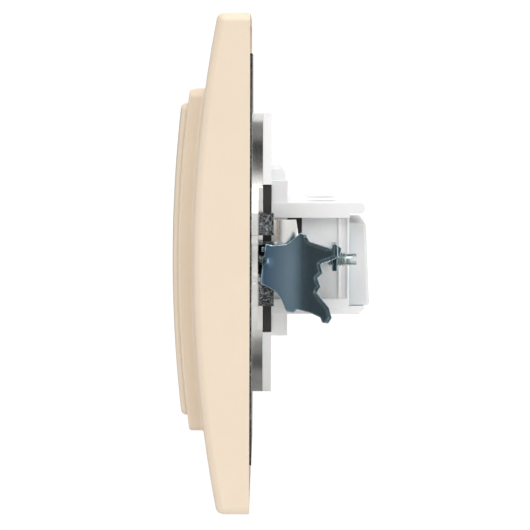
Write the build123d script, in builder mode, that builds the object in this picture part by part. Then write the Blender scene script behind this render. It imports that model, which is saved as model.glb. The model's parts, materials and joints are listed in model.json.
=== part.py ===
"""Two-gang socket outlet for two unearthed round-pin plugs, for a 60 mm flush box.

+Z is up, the room is towards -Y and the wall box towards +Y.  The origin is on the
device's axis, in the rear face of the steel yoke.  All sizes are in millimetres.
"""

import os
from math import cos, radians, sin, sqrt, tan

from build123d import *

os.makedirs("parts", exist_ok=True)

# ---- frame: the square surround that covers the wall opening
frame_size = 85.0
frame_back = -0.3
frame_depth = 9.6
frame_crown = 220.0
frame_corner = 1.5
frame_edge = 1.35
frame_wall = 2.0
yoke_play = 0.4
collar_rim = 2.25
collar_depth = 12.4
collar_corner = 1.4
collar_edge = 0.45
collar_root = 0.9
rib_thickness = 1.2
rib_spread = 44.0
rib_setback = 1.6

# ---- cover: the square plate with the pin holes, in the frame's opening
cover_size = 54.0
cover_gap = 0.25
cover_depth = 13.9
cover_crown_upright = 240.0
cover_crown_level = 600.0
cover_corner = 1.2
cover_edge = 0.9
cover_wall = 2.0
cover_skirt_end = -6.3
ledge_width = 2.2
ledge_thickness = 1.5

# ---- receptacles
pin_pitch = 19.0
socket_pitch = 20.0
pin_hole_radius = 2.6
pin_length = 19.0
pin_end_play = 0.15
plug_width = 36.0
plug_height = 14.6
plug_cheek = 4.2
plug_corner = 1.0
plug_seat_depth = 0.35
bush_radius = 3.9
bush_length = 2.9

# ---- yoke: the pressed steel mounting plate
yoke_size = 71.5
yoke_thickness = 1.0
yoke_chamfer = 9.0
dish_radius = 25.1
dish_depth = 1.9
dish_lip = 3.1
claw_window = 12.9
claw_window_gap = 0.4
window_wall = 1.1
box_screw_pitch = 60.0
box_slot_radius = 1.7
box_slot_length = 6.4
nail_hole_pitch = 54.0
nail_hole_radius = 1.6

# ---- base: the white moulding behind the yoke
tower_clearance = 0.6
tower_front = -5.0
ring_thickness = 1.5
block_width = 41.0
block_height = 27.1
block_rear = 6.2
step_width = 30.0
step_height = 15.4
step_chamfer = 0.9
step_setback = 0.4
shelf_width = 42.0
shelf_outer = 9.7
shelf_inner = 7.1
shelf_rear = 19.7
lip_start = 17.1
lip_relief = 0.8
lower_lip_relief = 1.4
lip_round = 0.8
lip_chamfer = 1.0
box_width = 38.0
box_rear = 17.05
rib_radius = 0.28
rib_pitch = 1.5
tunnel_height = 4.0
tunnel_rear = 13.3
tunnel_gap = 0.35
well_width = 10.0
well_height = 28.4
pad_overhang = 0.4
core_width = 36.6
housing_clearance = 0.1

# ---- claws that grip the wall box
claw_gauge = 0.9
claw_height = 30.0
claw_standoff = 2.1
claw_pivot_inset = 1.5
claw_pivot_y = 2.9
claw_lug_radius = 1.5
claw_pin_radius = 0.75
running_clearance = 0.05
lug_clearance = 0.12
ear_gap = 0.2
ear_width = 0.6
arm_start = 4.2
arm_outer = 8.1
arm_rear = 3.9
claw_screw_inset = 1.6
claw_screw_radius = 1.28
claw_screw_tip = 18.2
claw_screw_head = 2.0
claw_screw_head_height = 1.5
head_room = 0.2
tab_front = 13.95
tab_reach = 4.0
claw_bend_y = 8.9
claw_bend = 10.0
claw_bend_radius = 3.0
tab_gauge = 0.85
tab_top = 2.8
tab_bottom = -1.9
tab_root = 2.2
tab_slot_play = 0.15
lug_half = 1.2
claw_round = 0.2
claw_tip_chamfer = 0.3
tip_slot = 0.6
# the side view of a claw: depth, height
claw_outline = [
    (2.4, 2.9),
    (2.2, 0.9),
    (1.7, 0.0),
    (1.8, -1.4),
    (1.4, -4.1),
    (2.9, -4.7),
    (4.3, -5.6),
    (5.2, -6.9),
    (6.0, -8.9),
    (7.4, -9.1),
    (7.9, -8.5),
    (10.1, -9.1),
    (11.9, -9.9),
    (12.2, -10.8),
    (13.3, -10.9),
    (13.9, -9.9),
    (13.4, -8.1),
    (11.3, -5.6),
    (12.0, -4.5),
    (11.4, -3.1),
    (12.3, -2.2),
    (11.9, -0.7),
    (13.8, 0.0),
    (15.3, 0.8),
    (15.5, 2.2),
    (14.4, 3.0),
    (13.6, 2.2),
    (10.0, 3.3),
    (9.4, 4.4),
    (8.5, 4.8),
    (7.0, 3.5),
    (6.0, 2.8),
    (3.5, 2.6),
]
leaf_gauge = 0.4
leaf_bulge = 0.35
leaf_middle = 6.0
leaf_rear = 8.1
leaf_bottom = 2.2
leaf_top_gap = 0.15

# ---- contacts and terminals
contact_gauge = 0.6
clip_height = 6.0
clip_opening = 1.95
clip_flare = 2.9
clip_waist = -1.6
clip_front = -4.3
spine_width = 6.0
tail_width = 4.6
tail_gauge = 0.9
clip_hip = 1.8
spring_gauge = 0.5
terminal_width = 7.0
terminal_front = 8.9
terminal_rear = 15.9
terminal_round = 0.5
terminal_floor = 1.0
terminal_slot_turn = 25
terminal_height = 12.4
terminal_clearance = 0.15
wire_pitch = 6.6
wire_radius = 1.6
terminal_screw_radius = 1.7
terminal_screw_head = 2.3
terminal_screw_tip = 4.9
terminal_head_bottom = 8.1
terminal_head_top = 9.5
terminal_well_radius = 2.6

# ---- rear cover of the terminals
rear_cover_width = 34.0
rear_cover_top = 6.1
rear_cover_bottom = -8.4
rear_cover_end_top = 20.0
rear_cover_end_bottom = 20.65
wire_hole_radius = 1.9
wire_seat = 19.6
wire_seat_radius = 2.7
rear_cover_round = 0.5

# ---- shutters
carrier_thickness = 1.6
shutter_thickness = 2.0
shutter_clearance = 0.25
shutter_width = 27.0
shutter_height = 6.6
shutter_travel = 5.6
shutter_corner = 0.6
ramp_length = 1.6
ramp_land = 0.4
rail_width = 1.2
spring_wire = 0.3
spring_radius = 0.85
spring_turns = 4
spring_closed = 1.6
post_width = 0.9
post_length = 5.0
viewing_slot = 3.4
retainer_thickness = 1.0
retainer_radius = 21.0

# ---- fasteners
cover_screw_radius = 1.45
cover_screw_head = 2.9
cover_screw_tip = -0.6
tip_room = 1.0
head_sink = 0.1
cover_slot_depth = 1.0
boss_wall = 1.0
insert_radius = 2.6
driver_slot = 0.7
front_screw_x = 18.0
front_screw_radius = 1.1
front_screw_head = 1.9
front_head_height = 0.8
rivet_radius = 0.75
rivet_head = 1.0
rivet_head_height = 0.5
rivet_angle = 50.0

# ---- places worked out from the sizes above
frame_front = frame_back - frame_depth
collar_front = frame_back - collar_depth
cover_front = frame_back - cover_depth
opening_size = cover_size + 2 * cover_gap
collar_size = opening_size + 2 * collar_rim
plug_seat = cover_front + plug_seat_depth + (socket_pitch / 2) ** 2 / (2 * cover_crown_upright)
bush_end = plug_seat + bush_length
head_rear = plug_seat + cover_screw_head - cover_screw_radius
boss_radius = cover_screw_head + boss_wall
insert_rear = cover_screw_tip + tip_room
well_bottom = plug_seat + pin_length + pin_end_play
spine_rear = well_bottom - pin_end_play
spine_front = spine_rear - contact_gauge
ring_rear = dish_depth + ring_thickness
carrier_front = tower_front - carrier_thickness
shutter_rear = carrier_front - shutter_clearance / 2
shutter_front = shutter_rear - shutter_thickness
rail_front = shutter_front - shutter_clearance / 2
retainer_front = rail_front - retainer_thickness
pin_x = pin_pitch / 2
socket_z = socket_pitch / 2
dish_opening = dish_radius - dish_lip
# the tower passes through the dish and through the ledge in the frame
tower_radius = min(dish_opening, opening_size / 2 - ledge_width) - tower_clearance
claw_face = dish_radius + claw_standoff
claw_inner = claw_face - claw_gauge
claw_pivot_x = dish_radius - claw_pivot_inset
claw_screw_x = dish_radius - claw_screw_inset
lug_inner = claw_screw_radius + lug_clearance
tab_inner_x = claw_screw_x - tab_reach
pocket_front = terminal_front - terminal_clearance
terminal_mid = (terminal_front + terminal_rear) / 2
spring_post = socket_z + shutter_height / 2 + shutter_travel + spring_closed
rivet_circle = (dish_opening + dish_radius - yoke_thickness) / 2


def facing_room(y):
    """The upright plane at depth y, drawn in X and Z, that extrudes towards the room."""
    return Plane.XZ.offset(-y)


def crowned_slab(size, corner, back, front, crown):
    """A square slab with a flat back and a front that is an arc in the upright section."""
    half = size / 2
    end = front + crown - sqrt(crown**2 - half**2)
    with BuildPart() as slab:
        with BuildSketch(Plane.YZ):
            with BuildLine():
                ThreePointArc((end, -half), (front, 0), (end, half))
                Polyline((end, half), (back, half), (back, -half), (end, -half))
            make_face()
        extrude(amount=half, both=True)
        fillet(slab.edges().filter_by(Axis.Y), corner)
    return slab.part


def crowned_pad(size, corner, back, front):
    """A square pad whose front is crowned both ways."""
    reach = size
    drop = cover_crown_level - sqrt(cover_crown_level**2 - reach**2)
    with BuildPart() as pad:
        with BuildSketch(Plane.XY):
            with BuildLine():
                ThreePointArc((-reach, front + drop), (0, front), (reach, front + drop))
                Polyline((reach, front + drop), (reach, 0), (-reach, 0), (-reach, front + drop))
            make_face()
        revolve(axis=Axis((0, front + cover_crown_upright, 0), (1, 0, 0)))
        with BuildSketch(facing_room(back)):
            RectangleRounded(size, size, corner)
        extrude(amount=2 * (back - front), mode=Mode.INTERSECT)
    return pad.part


def rivet_places():
    """The four rivets that join the base to the dish."""
    reach_x = 2 * rivet_circle * cos(radians(rivet_angle))
    reach_z = 2 * rivet_circle * sin(radians(rivet_angle))
    return GridLocations(reach_x, reach_z, 2, 2)


def pin_places():
    """The four pin holes, in X and Z."""
    return GridLocations(pin_pitch, socket_pitch, 2, 2)


# ---------------------------------------------------------------- frame
with BuildPart() as frame_pocket:
    pocket_size = frame_size - 2 * frame_wall
    add(crowned_slab(pocket_size, frame_corner, frame_back, frame_front + frame_wall, frame_crown))
    with BuildSketch(facing_room(frame_back)):
        Rectangle(frame_size, frame_size)
        Rectangle(collar_size, collar_size, mode=Mode.SUBTRACT)
    extrude(amount=2 * frame_depth, mode=Mode.INTERSECT)
    rib_length = frame_size - collar_size
    with BuildSketch(facing_room(frame_back - rib_setback)):
        with GridLocations(frame_size, rib_spread, 2, 2):
            Rectangle(rib_length, rib_thickness)
        with GridLocations(rib_spread, frame_size, 2, 2):
            Rectangle(rib_thickness, rib_length)
    extrude(amount=2 * frame_depth, mode=Mode.SUBTRACT)

with BuildPart() as frame:
    add(crowned_slab(frame_size, frame_corner, frame_back, frame_front, frame_crown))
    fillet(frame.faces().sort_by(Axis.Y)[0].edges(), frame_edge)
    add(crowned_slab(collar_size, collar_corner, frame_back, collar_front, frame_crown))
    fillet(frame.faces().sort_by(Axis.Y)[0].edges(), collar_edge)
    near_collar = collar_size / 2 + collar_root
    root_edges = (
        frame.edges()
        .filter_by(lambda e: max(abs(e.center().X), abs(e.center().Z)) < near_collar)
        .filter_by(lambda e: collar_front + frame_wall < e.center().Y < -frame_wall)
        .filter_by(Axis.Y, reverse=True)
    )
    fillet(root_edges, collar_root)
    add(frame_pocket.part, mode=Mode.SUBTRACT)
    with BuildSketch(facing_room(frame_back)):
        RectangleRounded(opening_size, opening_size, cover_corner + cover_gap)
    extrude(amount=2 * collar_depth, mode=Mode.SUBTRACT)
    # the inner wall stands on the yoke, which sits in a shallow recess
    with BuildSketch(facing_room(frame_back)):
        Rectangle(yoke_size + 2 * yoke_play, yoke_size + 2 * yoke_play)
    extrude(amount=yoke_thickness + frame_back, mode=Mode.SUBTRACT)
    # room for the heads of the claw screws
    with BuildSketch(facing_room(0)):
        with GridLocations(2 * claw_screw_x, 0, 2, 1):
            Circle(claw_screw_head + head_room)
    extrude(amount=yoke_thickness + claw_screw_head_height + head_room, mode=Mode.SUBTRACT)
    # a ledge inside the opening, which the cover clamps
    with BuildSketch(facing_room(cover_skirt_end + ledge_thickness)):
        Rectangle(opening_size + collar_rim, opening_size + collar_rim)
        ledge_opening = opening_size - 2 * ledge_width
        RectangleRounded(ledge_opening, ledge_opening, cover_corner, mode=Mode.SUBTRACT)
    extrude(amount=ledge_thickness)
frame.part.label = "frame"
export_step(frame.part, "parts/frame.step")

# ---------------------------------------------------------------- cover
with BuildPart() as cover:
    add(crowned_pad(cover_size, cover_corner, cover_skirt_end, cover_front))
    fillet(cover.faces().sort_by(Axis.Y)[0].edges(), cover_edge)
    hollow = crowned_pad(
        cover_size - 2 * cover_wall, cover_corner, cover_skirt_end, cover_front + cover_wall
    )
    add(hollow, mode=Mode.SUBTRACT)
    with BuildSketch(facing_room(plug_seat)):
        flat_half = plug_width / 2 - plug_cheek
        with Locations((0, socket_z), (0, -socket_z)):
            Polygon(
                (-flat_half, plug_height / 2),
                (flat_half, plug_height / 2),
                (plug_width / 2, 0),
                (flat_half, -plug_height / 2),
                (-flat_half, -plug_height / 2),
                (-plug_width / 2, 0),
            )
        fillet(vertices(), plug_corner)
    extrude(amount=cover_depth, mode=Mode.SUBTRACT)
    with BuildSketch(facing_room(bush_end)):
        with pin_places():
            Circle(bush_radius)
        Circle(boss_radius)
    extrude(amount=bush_length)
    with BuildSketch(facing_room(bush_end)):
        with pin_places():
            Circle(pin_hole_radius)
        Circle(cover_screw_radius + running_clearance)
    extrude(amount=cover_depth, mode=Mode.SUBTRACT)
    with BuildSketch(facing_room(head_rear)):
        Circle(cover_screw_radius + running_clearance)
    extrude(amount=head_rear - plug_seat, taper=-45, mode=Mode.SUBTRACT)
cover.part.label = "cover"
export_step(cover.part, "parts/cover.step")

# the countersunk screw that holds the cover to the base
with BuildPart() as cover_screw:
    with BuildSketch(facing_room(cover_screw_tip)):
        Circle(cover_screw_radius)
    extrude(amount=cover_screw_tip - head_rear)
    with BuildSketch(facing_room(head_rear)):
        Circle(cover_screw_radius)
    extrude(amount=head_rear - plug_seat - head_sink, taper=-45)
    with BuildSketch(facing_room(plug_seat + cover_slot_depth)):
        Rectangle(2 * cover_screw_head, driver_slot)
    extrude(amount=2 * cover_slot_depth, mode=Mode.SUBTRACT)
cover_screw.part.label = "cover_screw"
export_step(cover_screw.part, "parts/cover_screw.step")

# ---------------------------------------------------------------- yoke
with BuildPart() as claw_spring:
    leaf_top = shelf_inner - leaf_top_gap
    leaf_x = dish_radius - claw_gauge / 2
    with BuildSketch(Plane.XY.offset(leaf_bottom)):
        with BuildLine():
            ThreePointArc(
                (leaf_x, arm_rear - leaf_gauge),
                (leaf_x + leaf_bulge, leaf_middle),
                (leaf_x - leaf_bulge, leaf_rear),
            )
        trace(line_width=leaf_gauge)
    extrude(amount=leaf_top - leaf_bottom)
    with BuildSketch(Plane.YZ):
        with BuildLine():
            Polyline(
                (0, arm_start),
                (arm_rear, arm_start),
                (leaf_middle, leaf_bottom),
                (leaf_rear + leaf_gauge, leaf_bottom),
                (leaf_rear, arm_start),
                (leaf_rear - leaf_gauge, leaf_top),
                (0, leaf_top),
                close=True,
            )
        make_face()
    extrude(amount=2 * dish_radius, mode=Mode.INTERSECT)

with BuildPart() as yoke:
    with BuildSketch(facing_room(0)):
        Rectangle(yoke_size, yoke_size)
        chamfer(vertices(), yoke_chamfer)
        Circle(dish_radius - yoke_thickness, mode=Mode.SUBTRACT)
        with Locations((box_screw_pitch / 2, 0), (-box_screw_pitch / 2, 0)):
            SlotOverall(box_slot_length, 2 * box_slot_radius, mode=Mode.SUBTRACT)
        with Locations((0, box_screw_pitch / 2), (0, -box_screw_pitch / 2)):
            SlotOverall(box_slot_length, 2 * box_slot_radius, rotation=90, mode=Mode.SUBTRACT)
        with GridLocations(nail_hole_pitch, nail_hole_pitch, 2, 2):
            Circle(nail_hole_radius, mode=Mode.SUBTRACT)
    extrude(amount=yoke_thickness)
    # the drawn dish that the base seats on
    with BuildSketch(facing_room(dish_depth)):
        Circle(dish_radius)
        Circle(dish_radius - yoke_thickness, mode=Mode.SUBTRACT)
    extrude(amount=dish_depth)
    with BuildSketch(facing_room(dish_depth)):
        Circle(dish_radius)
        Circle(dish_opening, mode=Mode.SUBTRACT)
    extrude(amount=yoke_thickness)
    # the side windows, where only a low wall of the dish is left
    window_inner = tower_radius + claw_window_gap
    window_reach = dish_radius - window_inner
    with BuildSketch(facing_room(dish_depth)):
        with GridLocations(2 * dish_radius - window_reach, 0, 2, 1):
            Rectangle(window_reach, 2 * claw_window)
    extrude(amount=dish_depth - window_wall, mode=Mode.SUBTRACT)
    with BuildSketch(facing_room(window_wall)):
        Circle(dish_radius - yoke_thickness)
        Rectangle(2 * window_inner, 2 * dish_radius, mode=Mode.SUBTRACT)
        with Locations((0, claw_window + dish_radius), (0, -claw_window - dish_radius)):
            Rectangle(2 * dish_radius, 2 * dish_radius, mode=Mode.SUBTRACT)
    extrude(amount=window_wall + yoke_thickness, mode=Mode.SUBTRACT)
    # a tongue on each side takes the claw screw and carries the two bent arms
    with BuildSketch(facing_room(0)):
        with GridLocations(2 * dish_radius - window_reach, 0, 2, 1):
            Rectangle(window_reach, 2 * arm_outer)
    extrude(amount=yoke_thickness)
    arm_inner = lug_inner + claw_gauge + ear_gap
    arm_mid = (arm_start + arm_outer) / 2
    arm_x = dish_radius - claw_gauge / 2
    with BuildSketch(facing_room(arm_rear)):
        with GridLocations(2 * arm_x, 2 * arm_mid, 2, 2):
            Rectangle(claw_gauge, arm_outer - arm_start)
    extrude(amount=arm_rear + yoke_thickness)
    ear_z = arm_inner + ear_width / 2
    ear_rear = claw_pivot_y + claw_lug_radius
    for z in (ear_z, -ear_z):
        with BuildSketch(Plane.XY.offset(z)):
            for side in (1, -1):
                with Locations((side * (window_inner + window_reach / 2), ear_rear / 2)):
                    Rectangle(window_reach, ear_rear)
                with Locations((side * claw_pivot_x, claw_pivot_y)):
                    Circle(claw_pin_radius, mode=Mode.SUBTRACT)
        extrude(amount=ear_width / 2, both=True)
    with BuildSketch(facing_room(dish_depth)):
        with GridLocations(2 * claw_screw_x, 0, 2, 1):
            Circle(claw_screw_radius + running_clearance)
        with rivet_places():
            Circle(rivet_radius)
    extrude(amount=2 * dish_depth, mode=Mode.SUBTRACT)
    # the upper arms carry on as bowed springs behind the claws
    add(claw_spring.part)
    mirror(claw_spring.part, about=Plane.YZ)
yoke.part.label = "yoke"
export_step(yoke.part, "parts/yoke.step")

# ---------------------------------------------------------------- contact housing
def contact_wells():
    """The outlines of the two contact wells."""
    with GridLocations(pin_pitch, 0, 2, 1):
        Rectangle(well_width, well_height)


with BuildPart() as contact_housing:
    with BuildSketch(facing_room(dish_depth)):
        Circle(tower_radius)
    extrude(amount=dish_depth - tower_front)
    # a pad fills the window in the base's ring, and a core reaches back to the terminals
    with BuildSketch(facing_room(ring_rear)):
        Rectangle(block_width + 2 * pad_overhang, 2 * (claw_window - housing_clearance))
    extrude(amount=ring_thickness)
    with BuildSketch(facing_room(pocket_front)):
        Rectangle(core_width, 2 * (shelf_inner - housing_clearance))
    extrude(amount=pocket_front - ring_rear)
    with BuildSketch(facing_room(well_bottom)):
        contact_wells()
    extrude(amount=well_bottom - tower_front, mode=Mode.SUBTRACT)
    with BuildSketch(facing_room(pocket_front)):
        with GridLocations(pin_pitch, 0, 2, 1):
            Rectangle(tail_width + 2 * terminal_clearance, tail_gauge + 2 * terminal_clearance)
    extrude(amount=pocket_front - well_bottom, mode=Mode.SUBTRACT)
    # holes for the cover screw's insert and the front screws
    with BuildSketch(facing_room(insert_rear)):
        Circle(insert_radius)
        with GridLocations(2 * front_screw_x, 0, 2, 1):
            Circle(front_screw_radius)
    extrude(amount=insert_rear - tower_front, mode=Mode.SUBTRACT)
contact_housing.part.label = "contact_housing"
export_step(contact_housing.part, "parts/contact_housing.step")

# ---------------------------------------------------------------- base
with BuildPart() as base:
    # the ring that seats on the dish, with a window across it for the claws
    with BuildSketch(facing_room(ring_rear)):
        Circle(dish_radius)
        Rectangle(2 * dish_radius, 2 * claw_window, mode=Mode.SUBTRACT)
    extrude(amount=ring_thickness)
    with BuildSketch(facing_room(block_rear)):
        Rectangle(block_width, block_height)
    extrude(amount=block_rear - ring_rear)
    # a narrower step stands above the block, with its rear edge chamfered
    step_rear = block_rear - step_setback
    with BuildSketch(Plane.YZ):
        with BuildLine():
            Polyline(
                (ring_rear, block_height / 2),
                (ring_rear, step_height),
                (step_rear - step_chamfer, step_height),
                (step_rear, step_height - step_chamfer),
                (step_rear, block_height / 2),
                close=True,
            )
        make_face()
    extrude(amount=step_width / 2, both=True)
    # the box that holds the terminals, between two shelves
    with BuildSketch(facing_room(box_rear)):
        Rectangle(box_width, 2 * shelf_inner)
    extrude(amount=box_rear - pocket_front)
    lip_inner = shelf_inner + lip_relief
    lower_lip_inner = shelf_inner + lower_lip_relief
    with BuildSketch(Plane.YZ):
        with BuildLine():
            Polyline(
                (ring_rear, shelf_inner),
                (lip_start, shelf_inner),
                (lip_start, lip_inner),
                (shelf_rear, lip_inner),
                (shelf_rear, shelf_outer),
                (ring_rear, shelf_outer),
                close=True,
            )
        make_face()
        fillet(vertices().group_by(Axis.X)[-1], lip_round)
    extrude(amount=shelf_width / 2, both=True)
    with BuildSketch(Plane.YZ):
        with BuildLine():
            Polyline(
                (ring_rear, -shelf_inner),
                (box_rear, -shelf_inner),
                (box_rear, -lower_lip_inner),
                (shelf_rear, -lower_lip_inner),
                (shelf_rear, -shelf_outer),
                (ring_rear, -shelf_outer),
                close=True,
            )
        make_face()
        chamfer(vertices().group_by(Axis.X)[-1].sort_by(Axis.Y)[0], lip_chamfer)
    extrude(amount=shelf_width / 2, both=True)
    # half-round ribs down the sides of the box
    with BuildSketch(Plane.XY):
        with Locations((0, box_rear - rib_radius - rib_pitch / 2)):
            with GridLocations(box_width, rib_pitch, 2, 2):
                Circle(rib_radius)
    extrude(amount=shelf_inner, both=True)
    # a tunnel on each side shields the claw screw
    with BuildSketch(facing_room(tunnel_rear)):
        Rectangle(2 * (claw_inner - tunnel_gap), tunnel_height)
    extrude(amount=tunnel_rear - block_rear)
    with BuildSketch(facing_room(tunnel_rear)):
        with GridLocations(2 * claw_screw_x, 0, 2, 1):
            Circle(claw_screw_radius + running_clearance)
    extrude(amount=2 * tunnel_rear, mode=Mode.SUBTRACT)
    # the wells' rear ends, and the opening that the housing's core fills
    with BuildSketch(facing_room(well_bottom)):
        contact_wells()
    extrude(amount=2 * well_bottom, mode=Mode.SUBTRACT)
    with BuildSketch(facing_room(pocket_front)):
        Rectangle(core_width + 2 * housing_clearance, 2 * shelf_inner)
    extrude(amount=2 * pocket_front, mode=Mode.SUBTRACT)
    # pockets for the terminals, open at the rear
    with BuildSketch(facing_room(box_rear)):
        with GridLocations(pin_pitch, 0, 2, 1):
            Rectangle(
                terminal_width + 2 * terminal_clearance, terminal_height + 2 * terminal_clearance
            )
    extrude(amount=box_rear - pocket_front, mode=Mode.SUBTRACT)
    # holes in the shelves for the terminal screws
    with BuildSketch(Plane.XY.offset(-shelf_outer)):
        with Locations((pin_x, terminal_mid), (-pin_x, terminal_mid)):
            Circle(terminal_well_radius)
    extrude(amount=2 * shelf_outer, mode=Mode.SUBTRACT)
    # rivet holes, counterbored so that the heads lie flush
    with BuildSketch(facing_room(ring_rear)):
        with rivet_places():
            Circle(rivet_radius)
    extrude(amount=ring_thickness, mode=Mode.SUBTRACT)
    with BuildSketch(facing_room(ring_rear)):
        with rivet_places():
            Circle(rivet_head + running_clearance)
    extrude(amount=rivet_head_height, mode=Mode.SUBTRACT)
base.part.label = "base"
export_step(base.part, "parts/base.step")

# ---------------------------------------------------------------- front of the base
with BuildPart() as contact_cover:
    with BuildSketch(facing_room(tower_front)):
        Circle(tower_radius)
        with pin_places():
            Circle(pin_hole_radius, mode=Mode.SUBTRACT)
        Circle(cover_screw_radius + 4 * running_clearance, mode=Mode.SUBTRACT)
        with GridLocations(2 * front_screw_x, 0, 2, 1):
            Circle(front_screw_radius, mode=Mode.SUBTRACT)
    extrude(amount=carrier_thickness)
    # rails beside the shutters, bosses for the screws and posts for the springs
    rail_x = shutter_width / 2 + shutter_clearance + rail_width / 2
    rail_height = carrier_front - rail_front
    with BuildSketch(facing_room(carrier_front)):
        with GridLocations(2 * rail_x, socket_pitch, 2, 2):
            Rectangle(rail_width, shutter_height)
        with GridLocations(2 * front_screw_x, 0, 2, 1):
            Circle(front_screw_head)
            Circle(front_screw_radius, mode=Mode.SUBTRACT)
        with GridLocations(0, 2 * spring_post + post_width, 1, 2):
            Rectangle(post_length, post_width)
    extrude(amount=rail_height)
contact_cover.part.label = "contact_cover"
export_step(contact_cover.part, "parts/contact_cover.step")

with BuildPart() as shutter_retainer:
    with BuildSketch(facing_room(rail_front)):
        Circle(retainer_radius)
        with pin_places():
            Circle(pin_hole_radius, mode=Mode.SUBTRACT)
        Circle(boss_radius + shutter_clearance, mode=Mode.SUBTRACT)
        with GridLocations(2 * front_screw_x, 0, 2, 1):
            Circle(front_screw_radius, mode=Mode.SUBTRACT)
        with GridLocations(0, 2 * spring_post, 1, 2):
            Rectangle(viewing_slot, shutter_height, mode=Mode.SUBTRACT)
    extrude(amount=retainer_thickness)
shutter_retainer.part.label = "shutter_retainer"
export_step(shutter_retainer.part, "parts/shutter_retainer.step")

# each shutter has a ramp at both pins, which slides it away from the middle
with BuildPart() as shutter_upper:
    with BuildSketch(facing_room(shutter_rear)):
        with Locations((0, socket_z)):
            RectangleRounded(shutter_width, shutter_height, shutter_corner)
    extrude(amount=shutter_thickness)
    ramp_foot = socket_z - shutter_height / 2
    with BuildSketch(Plane.YZ):
        with BuildLine():
            Polyline(
                (shutter_front, ramp_foot),
                (shutter_front, ramp_foot + ramp_length),
                (shutter_rear - ramp_land, ramp_foot),
                close=True,
            )
        make_face()
    extrude(amount=shutter_width, both=True, mode=Mode.SUBTRACT)
shutter_upper.part.label = "shutter_upper"
export_step(shutter_upper.part, "parts/shutter_upper.step")

with BuildPart() as shutter_lower:
    mirror(shutter_upper.part, about=Plane.XY)
shutter_lower.part.label = "shutter_lower"
export_step(shutter_lower.part, "parts/shutter_lower.step")

# coil springs that close the shutters
shutter_mid = (shutter_front + shutter_rear) / 2
spring_start = socket_z + shutter_height / 2 + spring_wire / 2 + running_clearance
spring_length = spring_post - spring_wire / 2 - running_clearance - spring_start
with BuildPart() as shutter_spring_upper:
    with BuildLine(Plane.XY.offset(spring_start) * Pos(0, shutter_mid)) as coil:
        Helix(spring_length / spring_turns, spring_length, spring_radius)
    with BuildSketch(Plane(coil.line @ 0, z_dir=coil.line % 0)):
        Circle(spring_wire / 2)
    sweep(is_frenet=True)
shutter_spring_upper.part.label = "shutter_spring_upper"
export_step(shutter_spring_upper.part, "parts/shutter_spring_upper.step")

with BuildPart() as shutter_spring_lower:
    mirror(shutter_spring_upper.part, about=Plane.XY)
shutter_spring_lower.part.label = "shutter_spring_lower"
export_step(shutter_spring_lower.part, "parts/shutter_spring_lower.step")

# ---------------------------------------------------------------- fasteners in the base
with BuildPart() as centre_insert:
    with BuildSketch(facing_room(insert_rear)):
        Circle(insert_radius)
        Circle(cover_screw_radius + running_clearance, mode=Mode.SUBTRACT)
    extrude(amount=insert_rear - tower_front)
centre_insert.part.label = "centre_insert"
export_step(centre_insert.part, "parts/centre_insert.step")

# two screws hold the shutter retainer and the contact cover to the base
with BuildPart() as front_screws:
    with BuildSketch(facing_room(insert_rear)):
        with GridLocations(2 * front_screw_x, 0, 2, 1):
            Circle(front_screw_radius - running_clearance)
    extrude(amount=insert_rear - retainer_front)
    with BuildSketch(facing_room(retainer_front)):
        with GridLocations(2 * front_screw_x, 0, 2, 1):
            Circle(front_screw_head)
    extrude(amount=front_head_height)
    with BuildSketch(facing_room(retainer_front - front_head_height / 2)):
        with GridLocations(2 * front_screw_x, 0, 2, 1):
            Rectangle(2 * front_screw_head, driver_slot)
    extrude(amount=front_head_height, mode=Mode.SUBTRACT)
front_screws.part.label = "front_screws"
export_step(front_screws.part, "parts/front_screws.step")

# hollow rivets that join the base's ring to the yoke's dish
with BuildPart() as base_rivets:
    with BuildSketch(facing_room(ring_rear)):
        with rivet_places():
            Circle(rivet_head)
    extrude(amount=rivet_head_height)
    with BuildSketch(facing_room(ring_rear - rivet_head_height)):
        with rivet_places():
            Circle(rivet_radius - running_clearance)
    extrude(amount=ring_thickness + yoke_thickness - rivet_head_height)
    with BuildSketch(facing_room(dish_depth - yoke_thickness)):
        with rivet_places():
            Circle(rivet_head)
    extrude(amount=rivet_head_height)
base_rivets.part.label = "base_rivets"
export_step(base_rivets.part, "parts/base_rivets.step")

# ---------------------------------------------------------------- contacts
with BuildPart() as neutral_contact:
    # a spine behind both clips, and a tail that runs back into the terminal
    with BuildSketch(facing_room(spine_rear)):
        with Locations((pin_x, 0)):
            Rectangle(spine_width, socket_pitch + clip_height)
    extrude(amount=contact_gauge)
    with BuildSketch(facing_room(terminal_front)):
        with Locations((pin_x, 0)):
            Rectangle(tail_width, tail_gauge)
    extrude(amount=terminal_front - spine_rear)
    # the clips: two leaves on each pin, waisted to grip it and flared to guide it in
    for z in (socket_z, -socket_z):
        with BuildSketch(Plane.XY.offset(z - clip_height / 2)):
            for side in (1, -1):
                with BuildLine():
                    Polyline(
                        (pin_x + side * clip_flare, clip_front),
                        (pin_x + side * (clip_opening + contact_gauge / 2), clip_waist),
                        (pin_x + side * (spine_width / 2 - contact_gauge / 2), clip_hip),
                        (pin_x + side * (spine_width / 2 - contact_gauge / 2), spine_front),
                    )
                trace(line_width=contact_gauge)
        extrude(amount=clip_height)
neutral_contact.part.label = "neutral_contact"
export_step(neutral_contact.part, "parts/neutral_contact.step")

with BuildPart() as line_contact:
    mirror(neutral_contact.part, about=Plane.YZ)
line_contact.part.label = "line_contact"
export_step(line_contact.part, "parts/line_contact.step")

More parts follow.
